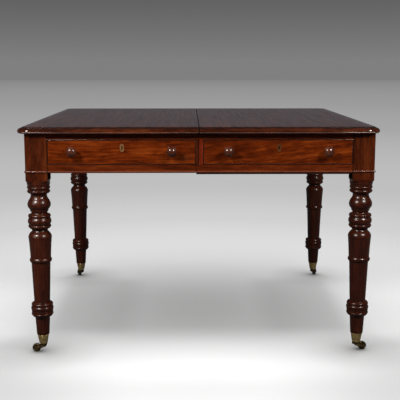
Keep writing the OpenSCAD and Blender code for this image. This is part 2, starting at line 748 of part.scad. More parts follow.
module castor_wheel(i, e) {
  w = wheel_w / 2;
  color("#a8863a") castor_at(i, e) translate([trail, 0, wheel_r]) rotate([90, 0, 0]) rotate_extrude()
    polygon(turned([
      [axle_r + fit, -w, 0], [6, -w, 0], [7, 1 - w, 0], [wheel_r - 3, 1 - w, 0], [wheel_r - 2, 0.2 - w, 0.58],
      [wheel_r, 2.2 - w, 0], [wheel_r, w - 2.2, 0.58], [wheel_r - 2, w - 0.2, 0],
      [wheel_r - 3, w - 1, 0], [7, w - 1, 0], [6, w, 0], [axle_r + fit, w, 0]
    ]));
}

top_half(0);  // top_left
top_half(1);  // top_right
leaf_pegs();
leg(0, 0);  // leg_front_left
leg(1, 0);  // leg_front_right
leg(0, 1);  // leg_rear_left
leg(1, 1);  // leg_rear_right
front_rail_upper(0);  // front_rail_upper_left
front_rail_upper(1);  // front_rail_upper_right
front_rail_lower(0);  // front_rail_lower_left
front_rail_lower(1);  // front_rail_lower_right
end_rail(0);  // end_rail_left
end_rail(1);  // end_rail_right
rear_rail(0);  // rear_rail_left
rear_rail(1);  // rear_rail_right
mid_rail(0);  // mid_rail_left
mid_rail(1);  // mid_rail_right
centre_stile(0);  // centre_stile_left
centre_stile(1);  // centre_stile_right
centre_guide(0);  // centre_guide_left
centre_guide(1);  // centre_guide_right
drawer_runners(0);  // drawer_runners_left
drawer_runners(1);  // drawer_runners_right
drawer_kickers(0);  // drawer_kickers_left
drawer_kickers(1);  // drawer_kickers_right
slide_bearers(0);  // slide_bearers_left
slide_bearers(1);  // slide_bearers_right
lap_strips();
glue_blocks(0);  // glue_blocks_left
glue_blocks(1);  // glue_blocks_right
slide_bar(0);  // slide_bar_front
slide_bar(1);  // slide_bar_rear
drawer_front(0);  // drawer_front_left
drawer_front(1);  // drawer_front_right
cock_beads(0);  // cock_beads_left
cock_beads(1);  // cock_beads_right
drawer_sides(0);  // drawer_sides_left
drawer_sides(1);  // drawer_sides_right
drawer_back(0);  // drawer_back_left
drawer_back(1);  // drawer_back_right
drawer_bottom(0);  // drawer_bottom_left
drawer_bottom(1);  // drawer_bottom_right
knobs(0);  // knobs_left
knobs(1);  // knobs_right
escutcheon(0);  // escutcheon_left
escutcheon(1);  // escutcheon_right
lock_case(0);  // lock_case_left
lock_case(1);  // lock_case_right
lock_bolt(0);  // lock_bolt_left
lock_bolt(1);  // lock_bolt_right
castor_cups(0);  // castor_cups_left
castor_cups(1);  // castor_cups_right
castor_horn(0, 0);  // castor_horn_front_left
castor_horn(1, 0);  // castor_horn_front_right
castor_horn(0, 1);  // castor_horn_rear_left
castor_horn(1, 1);  // castor_horn_rear_right
castor_wheel(0, 0);  // castor_wheel_front_left
castor_wheel(1, 0);  // castor_wheel_front_right
castor_wheel(0, 1);  // castor_wheel_rear_left
castor_wheel(1, 1);  // castor_wheel_rear_right
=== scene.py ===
import json
import math
import bmesh
import bpy
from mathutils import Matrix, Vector


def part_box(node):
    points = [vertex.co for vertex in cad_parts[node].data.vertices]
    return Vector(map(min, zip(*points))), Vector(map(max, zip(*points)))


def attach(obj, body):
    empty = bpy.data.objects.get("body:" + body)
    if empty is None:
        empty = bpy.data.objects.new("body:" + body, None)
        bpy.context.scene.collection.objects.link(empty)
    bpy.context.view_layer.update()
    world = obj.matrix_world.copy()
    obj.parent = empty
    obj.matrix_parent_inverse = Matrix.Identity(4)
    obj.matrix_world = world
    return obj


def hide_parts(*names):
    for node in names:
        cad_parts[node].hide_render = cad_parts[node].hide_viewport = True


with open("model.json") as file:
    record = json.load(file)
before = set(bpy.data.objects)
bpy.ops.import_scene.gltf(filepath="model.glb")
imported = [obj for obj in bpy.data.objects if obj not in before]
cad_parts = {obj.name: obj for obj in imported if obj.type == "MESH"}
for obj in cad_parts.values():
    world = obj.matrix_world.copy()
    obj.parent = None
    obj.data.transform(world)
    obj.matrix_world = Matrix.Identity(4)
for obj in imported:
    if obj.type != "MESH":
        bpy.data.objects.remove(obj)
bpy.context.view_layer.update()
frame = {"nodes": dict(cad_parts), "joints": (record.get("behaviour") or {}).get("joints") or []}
nodes = frame["nodes"]

# The four legs. Each is one length of mahogany: a square block at the head, into which the rails
# are tenoned, and below it the shaft that the turner cut. They are stained darker than the frame
# and French polished; old wax and dirt sit in the quirks between the rings, and painted shade
# darkens them further.
MM = 0.001
HALVES = ("left", "right")
ENDS = ("front", "rear")
table_height = 755 * MM
top_thickness = 20 * MM
under_top = table_height - top_thickness
frieze_foot = under_top - 127 * MM
block = 70 * MM
block_foot = under_top - 160 * MM
pommel = 9 * MM
arris = 1.2 * MM
shaft_radius = 37.5 * MM
axis_radius = 0.4
band_radius = 3.5 * MM
band_height = frieze_foot + 4.5 * MM
swivel_of = {j["child"]: Vector(j["pos_m"]) for j in frame["joints"] if j["name"].endswith("_swivel")}
spin_of = {j["child"]: j for j in frame["joints"] if j["name"].endswith("_spin")}

# Turner's pattern of the leg in millimetres: radius, drop below the block, and how far the curve
# to the next station swells away from the axis
upper_pattern = [
    (37.5, 0, 0), (37.5, 5, -0.6), (36, 12, 0), (35.2, 13, 2.2), (35.2, 21, 0), (34.4, 23, 0),
    (34.4, 25, 3.2), (34, 34, 0), (33.4, 35, -1.6), (26, 42, -0.7), (30, 54, 1.2), (37.6, 71, 2.2),
    (30.4, 88, 0), (30, 91, 0), (29.2, 92, 0), (29.2, 95, -0.8), (25.6, 100, -0.8), (30.5, 105, 0),
    (34, 105.5, 2.6), (34, 116, 0), (34.6, 118, 3.6), (34.6, 138, 0), (34.2, 140, 2.8), (34.2, 149, 0),
    (33.4, 151, -1.4), (25.2, 158, -0.5), (29, 164, 1.4), (37.6, 178, 0.5), (37.5, 184, -0.4),
    (33.4, 249, 0), (34, 252, 2.4), (34, 264, 0), (31.2, 266, 0), (30.8, 272, 0),
]
# The lower part, with heights above the floor
lower_pattern = [
    (25.9, 174, 0), (30.5, 172.5, 3), (34, 161.5, 0), (34, 160, 2.7), (34, 146.5, 0), (35.4, 145.5, -0.5),
    (35.2, 137, 0), (35.2, 136, 1.2), (34.6, 131, 1.6), (24.9, 122.5, 0), (24.3, 121.5, -0.2),
    (20.9, 64, 0), (20.1, 62.4, 0), (17.6, 62.2, 0), (12.9, 34.2, 0), (axis_radius, 34.1, 0),
]


def arc_between(a, b, swell, steps=12):
    """Points from a up to b, without b, on the arc that swells away from the axis."""
    if swell == 0:
        return [a]
    ax, az = a
    bx, bz = b
    chord = math.hypot(bx - ax, bz - az)
    ux, uz = (bx - ax) / chord, (bz - az) / chord
    side = 1 if uz < 0 else -1
    nx, nz = -side * uz, side * ux
    half = 2 * math.atan(2 * swell / chord)
    radius = chord / 2 / math.sin(half)
    points = []
    for k in range(steps):
        turn = half * (2 * k / steps - 1)
        out = radius * (math.cos(turn) - math.cos(half))
        points.append((
            (ax + bx) / 2 + ux * radius * math.sin(turn) + nx * out,
            (az + bz) / 2 + uz * radius * math.sin(turn) + nz * out,
        ))
    return points


def turned_outline(stations):
    """Outline (radius, height) through stations (radius, height, swell), all in millimetres."""
    outline = []
    for (r, z, swell), (next_r, next_z, _) in zip(stations, stations[1:]):
        outline += arc_between((r, z), (next_r, next_z), swell)
    outline.append(stations[-1][:2])
    return [(r * MM, z * MM) for r, z in outline]


def skin(name, rings, looped=False):
    """A mesh stretched over rings of points: capped at both ends, or looped from last to first."""
    mesh = bmesh.new()
    rows = [[mesh.verts.new(p) for p in ring] for ring in rings]
    size = len(rows[0])
    pairs = list(zip(rows, rows[1:]))
    if looped:
        pairs.append((rows[-1], rows[0]))
    for low, high in pairs:
        for k in range(size):
            n = (k + 1) % size
            mesh.faces.new((low[k], low[n], high[n], high[k]))
    if not looped:
        mesh.faces.new(rows[0][::-1])
        mesh.faces.new(rows[-1])
    bmesh.ops.recalc_face_normals(mesh, faces=mesh.faces)
    return finished(name, mesh)


def finished(name, mesh, crease=32):
    """Turns a worked mesh into an object, smooth except where its faces meet sharply."""
    data = bpy.data.meshes.new(name)
    mesh.to_mesh(data)
    mesh.free()
    data.shade_smooth()
    data.set_sharp_from_angle(angle=math.radians(crease))
    made = bpy.data.objects.new(name, data)
    bpy.context.scene.collection.objects.link(made)
    return made


def joined(name, pieces):
    """Several meshes as one piece."""
    mesh = bmesh.new()
    for piece in pieces:
        mesh.from_mesh(piece.data)
        bpy.data.objects.remove(piece)
    return finished(name, mesh)


def lathe(name, outline, centre, frame_axes=((1, 0, 0), (0, 1, 0), (0, 0, 1)), segments=96):
    """An outline (radius, height) turned about an axis through centre."""
    across, beside, along = (Vector(a) for a in frame_axes)
    rings = []
    for r, h in outline:
        ring = []
        for k in range(segments):
            t = 2 * math.pi * k / segments
            ring.append(centre + r * (across * math.cos(t) + beside * math.sin(t)) + along * h)
        rings.append(ring)
    return skin(name, rings)


def square_reach(t):
    """Distance from the axis to the face of the block at an angle, with its arrises rounded."""
    c, s = abs(math.cos(t)), abs(math.sin(t))
    flat = block / 2 / max(c, s)
    middle = block / 2 - arris
    low, high = min(c, s), max(c, s)
    if low * flat <= middle:
        return flat
    across = middle * (low + high)
    return across + math.sqrt(max(0, across ** 2 - (2 * middle ** 2 - arris ** 2)))


def block_rings(centre):
    """The square head of a leg, whose corners are rounded away into the turning at its foot."""
    wide = 3
    by_corner = [40.5, 42, 43, 44, 45, 46, 47, 48, 49.5]
    quarter = [wide * k for k in range(14)] + by_corner + [90 - wide * k for k in range(13, 0, -1)]
    angles = [math.radians(90 * q + a) for q in range(4) for a in quarter]
    edge = 0.6 * MM
    past_corner = 0.72 * block
    steps = 10
    rows = [(under_top, -edge), (under_top - edge, 0), ((under_top + block_foot) / 2, 0)]
    rows += [(block_foot + pommel * k / steps, 0) for k in range(steps, -1, -1)]
    rings = []
    for z, inset in rows:
        cone = shaft_radius + (past_corner - shaft_radius) * max(0, z - block_foot) / pommel
        ring = []
        for t in angles:
            r = min(square_reach(t) + inset, cone)
            ring.append(centre + Vector((r * math.cos(t), r * math.sin(t), z)))
        rings.append(ring)
    return rings


def band_rings(centre, out_x, out_y):
    """Half-round band on the two outer faces of a block, turned round their corner."""
    corner = centre + Vector((out_x * block / 2, out_y * block / 2, band_height))
    reach = block - 0.3 * MM
    steps = 8
    sides = 24
    stops = [(Vector((-out_x * reach, 0, 0)), 0.0)]
    stops += [(Vector((0, 0, 0)), math.pi / 2 * k / steps) for k in range(steps + 1)]
    stops += [(Vector((0, -out_y * reach, 0)), math.pi / 2)]
    rings = []
    for shift, turn in stops:
        outward = Vector((out_x * math.sin(turn), out_y * math.cos(turn), 0))
        ring = []
        for k in range(sides):
            t = 2 * math.pi * k / sides
            around = outward * math.cos(t) + Vector((0, 0, math.sin(t)))
            ring.append(corner + shift + band_radius * around)
        rings.append(ring)
    return rings


def add(tree, kind, sockets=None, **settings):
    """Adds a shader node. A value for a socket is set on it, and another node's output is linked."""
    made = tree.nodes.new("ShaderNode" + kind)
    for key, value in settings.items():
        setattr(made, key, value)
    for key, value in (sockets or {}).items():
        if isinstance(value, bpy.types.NodeSocket):
            tree.links.new(value, made.inputs[key])
        else:
            made.inputs[key].default_value = value
    return made


def new_finish(name, **fixed):
    """A material with its shader, whose fixed sockets are set once."""
    finish = bpy.data.materials.new(name)
    finish.use_nodes = True
    tree = finish.node_tree
    shader = tree.nodes["Principled BSDF"]
    for key, value in fixed.items():
        shader.inputs[key.replace("_", " ")].default_value = value
    return finish, tree, shader


def mixed(tree, factor, a, b, blend="MIX"):
    """Colour a with colour b laid over it."""
    node = add(tree, "Mix", data_type="RGBA", blend_type=blend, clamp_factor=True)
    for index, value in ((0, factor), (6, a), (7, b)):
        if isinstance(value, bpy.types.NodeSocket):
            tree.links.new(value, node.inputs[index])
        else:
            node.inputs[index].default_value = value if index == 0 else (*value, 1)
    return node.outputs[2]


def ramp(tree, factor, *stops):
    """A colour ramp through stops (place, colour)."""
    node = add(tree, "ValToRGB", {"Fac": factor})
    while len(node.color_ramp.elements) < len(stops):
        node.color_ramp.elements.new(0.5)
    for element, (place, colour) in zip(node.color_ramp.elements, stops):
        element.position = place
        element.color = (*colour, 1)
    return node.outputs["Color"]


def summed(tree, *parts):
    """The sum of sockets, each with its weight."""
    total = None
    for socket, weight in parts:
        sockets = {0: socket, 1: weight, 2: total if total is not None else 0.0}
        total = add(tree, "Math", sockets, operation="MULTIPLY_ADD").outputs[0]
    return total


def grey(level):
    return (level, level, level)


GRAIN_TURN = {"x": (0, 0, 0), "y": (0, 0, -math.pi / 2), "z": (0, math.pi / 2, 0)}


def along_grain(tree, grain, shift, tilt=0):
    """Object coordinates turned so that the grain runs along their first axis."""
    place = add(tree, "TexCoord").outputs["Object"]
    turn = Vector(GRAIN_TURN[grain]) + Vector((0, math.radians(tilt), 0))
    turned = add(tree, "Mapping", {"Vector": place, "Rotation": turn, "Location": shift})
    return turned.outputs[0]


def stretched(tree, vector, factors):
    return add(tree, "VectorMath", {0: vector, 1: factors}, operation="MULTIPLY").outputs[0]


def noise(tree, vector, scale, detail=3.0, rough=0.55):
    sockets = {"Vector": vector, "Scale": scale, "Detail": detail, "Roughness": rough}
    return add(tree, "TexNoise", sockets).outputs["Fac"]


def grained(tree, line, squeeze, scale, detail=3.0, rough=0.55):
    """Noise whose marks are drawn out along the grain, the longer the smaller squeeze is."""
    return noise(tree, stretched(tree, line, (squeeze, 1, 1)), scale, detail, rough)


def plus(tree, socket, amount):
    return add(tree, "Math", {0: socket, 1: amount}, operation="ADD").outputs[0]


def mapped(tree, value, start, stop, low=0.0, high=1.0, smooth=False):
    """Turns the range from start to stop into low to high, and holds it beyond both."""
    sockets = {"Value": value, "From Min": start, "From Max": stop, "To Min": low, "To Max": high}
    way = "SMOOTHSTEP" if smooth else "LINEAR"
    return add(tree, "MapRange", sockets, interpolation_type=way).outputs[0]


def coordinate(tree, vector, axis):
    return add(tree, "SeparateXYZ", {0: vector}).outputs[axis]


def hollows(tree, depth, *stops):
    """A ramp over how open the surface is within a depth, from shut corners to open faces."""
    openness = add(tree, "AmbientOcclusion", {"Distance": depth}, samples=6).outputs["AO"]
    return ramp(tree, openness, *stops)


def bump(tree, normal, height, strength, depth):
    """Raises the surface of a normal socket by a height."""
    raised = add(tree, "Bump", {"Strength": strength, "Distance": depth, "Height": height})
    tree.links.new(raised.outputs[0], normal)


def mahogany(
        name, grain, deep, heart, glow, coat=0.1, shift=(0, 0, 0), figure=0.5, rubbed=0.0, dirt_and_shade=0.55,
        tilt=0, gloss=1.45, ripple=0.25, highlight_height=None, rubber_marks=0.0):
    """French polished mahogany: fine straight grain, cloudy figure, open pores and a clear coat.

    deep, heart and glow are its colours from the darkest line to the lightest, coat is how rough
    the polish is and gloss its index. figure makes it cloudier, rubbed brightens its arrises,
    dirt_and_shade darkens its hollows with dirt and painted shade, highlight_height is the height
    of a painted highlight along a bead, and rubber_marks thin the polish.
    """
    dirt_and_shade_colour = (0.006, 0.0035, 0.0025)
    highlight_half_width = 1.3 * MM
    finish, tree, shader = new_finish(
        name, IOR=1.45, Specular_IOR_Level=0.04, Coat_Weight=1.0, Coat_Roughness=coat, Coat_IOR=gloss)
    line = along_grain(tree, grain, shift, tilt)
    slow = stretched(tree, line, (0.5, 1, 1))
    sway = add(tree, "TexNoise", {"Vector": slow, "Scale": 5.0, "Detail": 2.0})
    swayed = add(tree, "VectorMath", {0: sway.outputs["Color"], 1: grey(0.035)}, operation="MULTIPLY")
    wandering = add(tree, "VectorMath", {0: line, 1: swayed.outputs[0]}, operation="ADD").outputs[0]
    streaks = grained(tree, wandering, 0.05, 150.0, 5.0, 0.65)
    bands = grained(tree, wandering, 0.07, 34.0, 3.0, 0.5)
    clouds = grained(tree, wandering, 0.35, 15.0, 4.0, 0.6)
    flecks = grained(tree, wandering, 0.22, 105.0, 3.0, 0.6)
    tone = summed(
        tree, (streaks, 0.32), (bands, 0.43 - 0.35 * figure), (clouds, 0.35 * figure), (flecks, 0.25))
    wood = ramp(tree, tone, (0.42, deep), (0.5, heart), (0.58, glow))
    pores = grained(tree, line, 0.03, 1300.0, 2.0, 0.5)
    open_pores = ramp(tree, pores, (0.56, grey(0)), (0.66, grey(1)))
    wood = mixed(tree, summed(tree, (open_pores, 0.35)), wood, [0.25 * c for c in deep])
    # Dirt and painted shade: the colour darkens to near black in quirks, corners and other hollows within
    # 12 mm.
    hollow_dirt_and_shade = hollows(tree, 12 * MM, (0.35, grey(1)), (0.85, grey(0)))
    wood = mixed(tree, summed(tree, (hollow_dirt_and_shade, dirt_and_shade)), wood, dirt_and_shade_colour)
    if rubbed > 0:
        sharpness = add(tree, "NewGeometry").outputs["Pointiness"]
        worn = ramp(tree, sharpness, (0.52, grey(0)), (0.6, grey(1)))
        wood = mixed(tree, summed(tree, (worn, rubbed)), wood, [1.8 * c for c in glow])
    # A painted highlight: a pale stripe 1.3 mm either side of the given height stands in for the light that
    # a bead's crest catches.
    if highlight_height is not None:
        height = coordinate(tree, add(tree, "TexCoord").outputs["Object"], "Z")
        on_painted_highlight = add(tree, "Math", {0: height, 1: highlight_height, 2: highlight_half_width}, operation="COMPARE").outputs[0]
        wood = mixed(tree, summed(tree, (on_painted_highlight, 0.5)), wood, [1.6 * c + 0.06 for c in glow])
    tree.links.new(wood, shader.inputs["Base Color"])
    patches = noise(tree, line, 22.0, 3.0)
    dull = plus(tree, summed(tree, (patches, 0.3), (hollow_dirt_and_shade, 0.3)), 0.25)
    tree.links.new(dull, shader.inputs["Roughness"])
    wood_relief = summed(tree, (open_pores, -0.35), (streaks, 0.3))
    bump(tree, shader.inputs["Normal"], wood_relief, 0.35, 0.3 * MM)
    hand = noise(tree, line, 34.0, 2.0)
    polish_relief = summed(tree, (hand, 1.0), (streaks, 0.12), (open_pores, -0.1))
    bump(tree, shader.inputs["Coat Normal"], polish_relief, ripple, 0.9 * MM)
    if rubber_marks > 0:
        strokes = grained(tree, line, 0.02, 210.0, 3.0, 0.7)
        weight = mapped(tree, strokes, 0.35, 0.65, low=1 - rubber_marks)
        tree.links.new(weight, shader.inputs["Coat Weight"])
    return finish


def dress(piece, finish, body=None):
    """Gives a piece its finish and its slot, and lets a new one ride on its body."""
    piece.data.materials.clear()
    piece.data.materials.append(finish)
    if body:
        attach(piece, body)


leg_polish = mahogany(
    "leg_mahogany", "z", deep=(0.023, 0.0036, 0.0011), heart=(0.0395, 0.0066, 0.0018),
    glow=(0.067, 0.0135, 0.0032), coat=0.26, figure=0.6, rubbed=0.3, dirt_and_shade=1.0, gloss=1.47, ripple=0.03)
# The block's polish carries a painted highlight along its band.
block_polish = mahogany(
    "leg_block_mahogany", "z", deep=(0.034, 0.0062, 0.0017), heart=(0.068, 0.0125, 0.003),
    glow=(0.11, 0.024, 0.005), coat=0.16, shift=(0.7, 0.2, 0.5), figure=0.6, dirt_and_shade=0.8, gloss=1.6,
    highlight_height=band_height + 0.5 * MM)
bare_block = mahogany(
    "bare_leg_block", "z", deep=(0.02, 0.009, 0.006), heart=(0.036, 0.016, 0.009),
    glow=(0.05, 0.024, 0.013), coat=0.5)
for gloss_socket in ("Coat Weight", "Specular IOR Level"):
    bare_block.node_tree.nodes["Principled BSDF"].inputs[gloss_socket].default_value = 0.0
leg_finishes = (leg_polish, bare_block, block_polish)
legs = []
for half in HALVES:
    for end in ENDS:
        axis = swivel_of[f"castor_{end}_{half}"].copy()
        axis.z = 0
        out_x = -1 if half == "left" else 1
        out_y = -1 if end == "front" else 1
        hung = [(r, block_foot / MM - drop, swell) for r, drop, swell in upper_pattern]
        stations = [(axis_radius, block_foot / MM, 0), *hung, *lower_pattern]
        shaft = lathe("shaft", turned_outline(stations), axis)
        head = skin("head", block_rings(axis))
        band = skin("band", band_rings(axis, out_x, out_y))
        leg = joined(f"turned_leg_{end}_{half}", [shaft, head, band])
        dress(leg, leg_polish, f"{half}_half")
        for finish in leg_finishes[1:]:
            leg.data.materials.append(finish)
        for face in leg.data.polygons:
            faces_inward = max(-out_x * face.normal.x, -out_y * face.normal.y) > 0.999
            if face.center.z > block_foot + pommel:
                face.material_index = leg_finishes.index(bare_block if faces_inward else block_polish)
        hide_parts(f"leg_{end}_{half}")
        legs.append(leg)

# Castors. A cast brass cup is driven over each foot and held by one round-headed screw; the horn
# swivels in its floor on a riveted pintle, and carries a solid brass wheel on a riveted axle. The
# brass is old: olive brown in the hollows and rubbed yellow where feet and cloths have touched it.
cup_foot = 30
cup_top = 62
cup_mouth = 19.5
cup_taper = 0.18
cup_wall = 1.15
screw_drop = 6
screw_radius = 2.6 * MM
screw_rise = 0.9 * MM
wheel_radius = 13.9
wheel_width = 11
rim_radius = wheel_radius - 1.7
web_radius = wheel_radius - 3.3
hub_radius = 5.6
axle_radius = 2.7


def aged_brass(name, clean, tarnished, rough, tarnish=0.5):
    """Cast brass with a brown skin of tarnish, darkest where cloths don't reach."""
    finish, tree, shader = new_finish(name, Metallic=1.0)
    place = add(tree, "TexCoord").outputs["Object"]
    blotches = noise(tree, place, 140.0, 5.0, 0.65)
    specks = noise(tree, place, 900.0, 3.0, 0.6)
    hidden = hollows(tree, 6 * MM, (0.3, grey(1)), (0.9, grey(0)))
    skin_of_tarnish = summed(tree, (blotches, 3.6), (specks, 1.4), (hidden, 0.6))
    weights = {0: skin_of_tarnish, 1: tarnish - 2.7}
    level = add(tree, "Math", weights, operation="ADD", use_clamp=True).outputs[0]
    tree.links.new(mixed(tree, level, clean, tarnished), shader.inputs["Base Color"])
    dull = plus(tree, summed(tree, (level, 0.25), (specks, 0.15)), rough)
    tree.links.new(dull, shader.inputs["Roughness"])
    pits = summed(tree, (specks, 0.6), (blotches, 0.8))
    bump(tree, shader.inputs["Normal"], pits, 0.4, 0.2 * MM)
    return finish


cup_brass = aged_brass("cup_brass", (1.0, 0.77, 0.34), (0.09, 0.055, 0.024), 0.36, 0.4)
horn_brass = aged_brass("horn_brass", (0.6, 0.44, 0.21), (0.03, 0.02, 0.012), 0.34, 0.95)


def slotted_screw(name, centre, radius, rise, outward):
    """A round screw head with its slot cut across."""
    ring_count = 6
    slot_half = radius * 0.14
    slot_depth = rise * 0.7
    rim_rise = rise * 0.2
    beside = Vector((0, 0, 1)).cross(outward)
    outline = [(radius, 0.0)]
    for k in range(1, ring_count):
        t = math.pi / 2 * k / ring_count
        outline.append((radius * math.cos(t), rise * math.sin(t)))
    outline.append((radius * 0.04, rise))
    head = lathe(name, outline, centre, (beside, Vector((0, 0, 1)), outward), 48)
    for vertex in head.data.vertices:
        from_centre = vertex.co - centre
        if abs(from_centre.dot(beside)) < slot_half and from_centre.dot(outward) > rim_rise:
            vertex.co -= outward * slot_depth
    return head


base = cup_mouth - (cup_top - cup_foot) * cup_taper
wall = cup_mouth - cup_wall
screw_seat = cup_mouth - screw_drop * cup_taper - 0.55
cup_outline = turned_outline([
    (3.2, cup_foot, 0), (base - 1.6, cup_foot, 0.45), (base + 0.1, cup_foot + 1.6, 0),
    (wall, cup_top - 3.4, 0), (wall, cup_top - 2.8, 0.35), (cup_mouth - 0.35, cup_top - 2.2, 0.6),
    (cup_mouth - 0.4, cup_top - 0.2, 0.1), (cup_mouth - 1.2, cup_top, 0.1),
    (cup_mouth - 1.75, cup_top - 0.5, 0), (cup_mouth - 1.9, cup_top - 4, 0),
])
w = wheel_width / 2
wheel_outline = turned_outline([
    (axle_radius, -w, 0), (hub_radius, -w, 0.2), (hub_radius + 0.5, 0.4 - w, 0),
    (hub_radius + 1, 1.4 - w, 0.3), (web_radius, 1.4 - w, 0.3), (rim_radius - 1, 0.2 - w, 0.3),
    (rim_radius, 0.2 - w, 0.55), (wheel_radius, 2 - w, 0), (wheel_radius, w - 2, 0.55),
    (rim_radius, w - 0.2, 0.3), (rim_radius - 1, w - 0.2, 0.3), (web_radius, w - 1.4, 0.3),
    (hub_radius + 1, w - 1.4, 0), (hub_radius + 0.5, w - 0.4, 0.2), (hub_radius, w, 0),
    (axle_radius, w, 0),
])
for half in HALVES:
    parts = []
    for end in ENDS:
        axis = swivel_of[f"castor_{end}_{half}"].copy()
        axis.z = 0
        parts.append(lathe("cup", cup_outline, axis))
        at = axis + Vector((0, -screw_seat, cup_top - screw_drop)) * MM
        parts.append(slotted_screw("screw", at, screw_radius, screw_rise, Vector((0, -1, 0))))
    cups = joined(f"brass_cups_{half}", parts)
    dress(cups, cup_brass, f"{half}_half")
    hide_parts(f"castor_cups_{half}")
    for end in ENDS:
        place = f"{end}_{half}"
        dress(nodes[f"castor_horn_{place}"], horn_brass)
        joint = spin_of[f"castor_wheel_{place}"]
        axle = Vector(joint["axis"])
        up = Vector((0, 0, 1))
        axes = (up.cross(axle), up, axle)
        wheel = lathe(f"brass_wheel_{place}", wheel_outline, Vector(joint["pos_m"]), axes, 72)
        dress(wheel, horn_brass, f"castor_wheel_{place}")
        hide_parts(f"castor_wheel_{place}")

# Rails. The frieze rails are straight mahogany boards tenoned into the leg blocks, with a rounded
# bead worked along the foot of each; the front ones run above and below the drawers. A short stile
# on each side of the seam closes the front, the left one browner and the right one redder.
# A painted highlight runs along the foot bead of the rails at this height.
rail_highlight_height = band_height - 0.3 * MM
rail_polish = {
    "x": mahogany(
        "rail_mahogany", "x", deep=(0.054, 0.0086, 0.0017), heart=(0.106, 0.0164, 0.0027),
        glow=(0.162, 0.031, 0.0052), coat=0.15, shift=(0.3, 1.7, 0.4), figure=0.5, dirt_and_shade=0.75,
        gloss=1.5, highlight_height=rail_highlight_height),
    "y": mahogany(
        "end_rail_mahogany", "y", deep=(0.06, 0.0115, 0.003), heart=(0.115, 0.021, 0.0045),
        glow=(0.18, 0.037, 0.008), coat=0.15, shift=(0.9, 0.2, 2.1), figure=0.4, dirt_and_shade=0.75,
        gloss=1.5, highlight_height=rail_highlight_height),
}
stile_polish = {
    "left": mahogany(
        "brown_stile_mahogany", "z", deep=(0.028, 0.0052, 0.002), heart=(0.05, 0.0095, 0.003),
        glow=(0.08, 0.017, 0.0055), coat=0.14, shift=(2.2, 0.1, 0.3)),
    "right": mahogany(
        "red_stile_mahogany", "z", deep=(0.07, 0.009, 0.0025), heart=(0.13, 0.015, 0.004),
        glow=(0.2, 0.026, 0.008), coat=0.14, shift=(0.2, 3.1, 0.3)),
}
rail_grain = {"front_rail_upper": "x", "front_rail_lower": "x", "rear_rail": "x", "end_rail": "y"}
for half in HALVES:
    for name, grain in rail_grain.items():
        dress(nodes[f"{name}_{half}"], rail_polish[grain])
    dress(nodes[f"centre_stile_{half}"], stile_polish[half])

# Inside the frame: cross rails, guides, runners, kickers, glue blocks and the troughs of the
# slides, all of plainer wood that was sawn and planed but never polished. The slide bars are
# waxed so that they run, and the guides, which show in the seam, are coloured a dark red-brown.


def bare_timber(name, grain, pale, dark, rough=0.62, shift=(0, 0, 0)):
    """Planed wood without polish: growth lines, plane marks and a colour that darkens in its hollows."""
    finish, tree, shader = new_finish(name, IOR=1.45)
    line = along_grain(tree, grain, shift)
    lines = grained(tree, line, 0.04, 120.0, 4.0, 0.6)
    broad = grained(tree, line, 0.3, 9.0)
    tone = summed(tree, (lines, 0.6), (broad, 0.4))
    wood = ramp(tree, tone, (0.38, dark), (0.62, pale))
    # The colour darkens in hollows within 30 mm.
    darker_in_hollows = hollows(tree, 30 * MM, (0.3, grey(0.6)), (0.9, grey(0)))
    tree.links.new(mixed(tree, darker_in_hollows, wood, [0.35 * c for c in dark]), shader.inputs["Base Color"])
    tree.links.new(plus(tree, summed(tree, (lines, 0.3)), rough - 0.15), shader.inputs["Roughness"])
    bump(tree, shader.inputs["Normal"], lines, 0.3, 0.4 * MM)
    return finish


inner_timber = {
    grain: bare_timber(
        f"inner_timber_{grain}", grain, pale=(0.33, 0.2, 0.1), dark=(0.19, 0.1, 0.045), rough=0.62,
        shift=(1.1, 0.4, 0.2))
    for grain in ("x", "y")
}
slide_timber = bare_timber(
    "slide_timber", "x", pale=(0.33, 0.17, 0.07), dark=(0.2, 0.09, 0.035), rough=0.42,
    shift=(0.5, 2.0, 0.7))
guide_timber = bare_timber(
    "guide_timber", "y", pale=(0.075, 0.028, 0.012), dark=(0.04, 0.013, 0.006), rough=0.6,
    shift=(0.9, 0.9, 0.2))
inner_grain = {
    "mid_rail": "x", "drawer_runners": "y", "drawer_kickers": "y", "slide_bearers": "x", "glue_blocks": "x"}
for half in HALVES:
    for name, grain in inner_grain.items():
        dress(nodes[f"{name}_{half}"], inner_timber[grain])
    dress(nodes[f"centre_guide_{half}"], guide_timber)
for end in ENDS:
    dress(nodes[f"slide_bar_{end}"], slide_timber)

# The strips screwed under the right half at the front and the back. They lap under the left half
# and are near black, partly a stain and partly painted shade; what shows of them is one dark line
# under the rail.
strip_stain_and_shade = bare_timber(
    "strip_stain_and_shade", "x", pale=(0.02, 0.014, 0.011), dark=(0.01, 0.007, 0.006), rough=0.55,
    shift=(0.7, 0.7, 0.1))
dress(nodes["lap_strips"], strip_stain_and_shade)

# Drawers. The fronts are solid mahogany of a livelier figure, edged with a thin cock bead that is
# let into them; sides, back and bottom are thin boards of pale wood, grooved and pinned together.
front_polish = {
    "left": mahogany(
        "left_front_mahogany", "x", deep=(0.06, 0.009, 0.0012), heart=(0.145, 0.0215, 0.0022),
        glow=(0.255, 0.048, 0.0055), coat=0.12, shift=(0.1, 0.3, 0.9), figure=0.9, dirt_and_shade=0.35),
    "right": mahogany(
        "right_front_mahogany", "x", deep=(0.06, 0.0085, 0.0012), heart=(0.13, 0.0195, 0.002),
        glow=(0.23, 0.043, 0.005), coat=0.12, shift=(4.4, 1.2, 0.1), figure=0.8, dirt_and_shade=0.35, tilt=7),
}


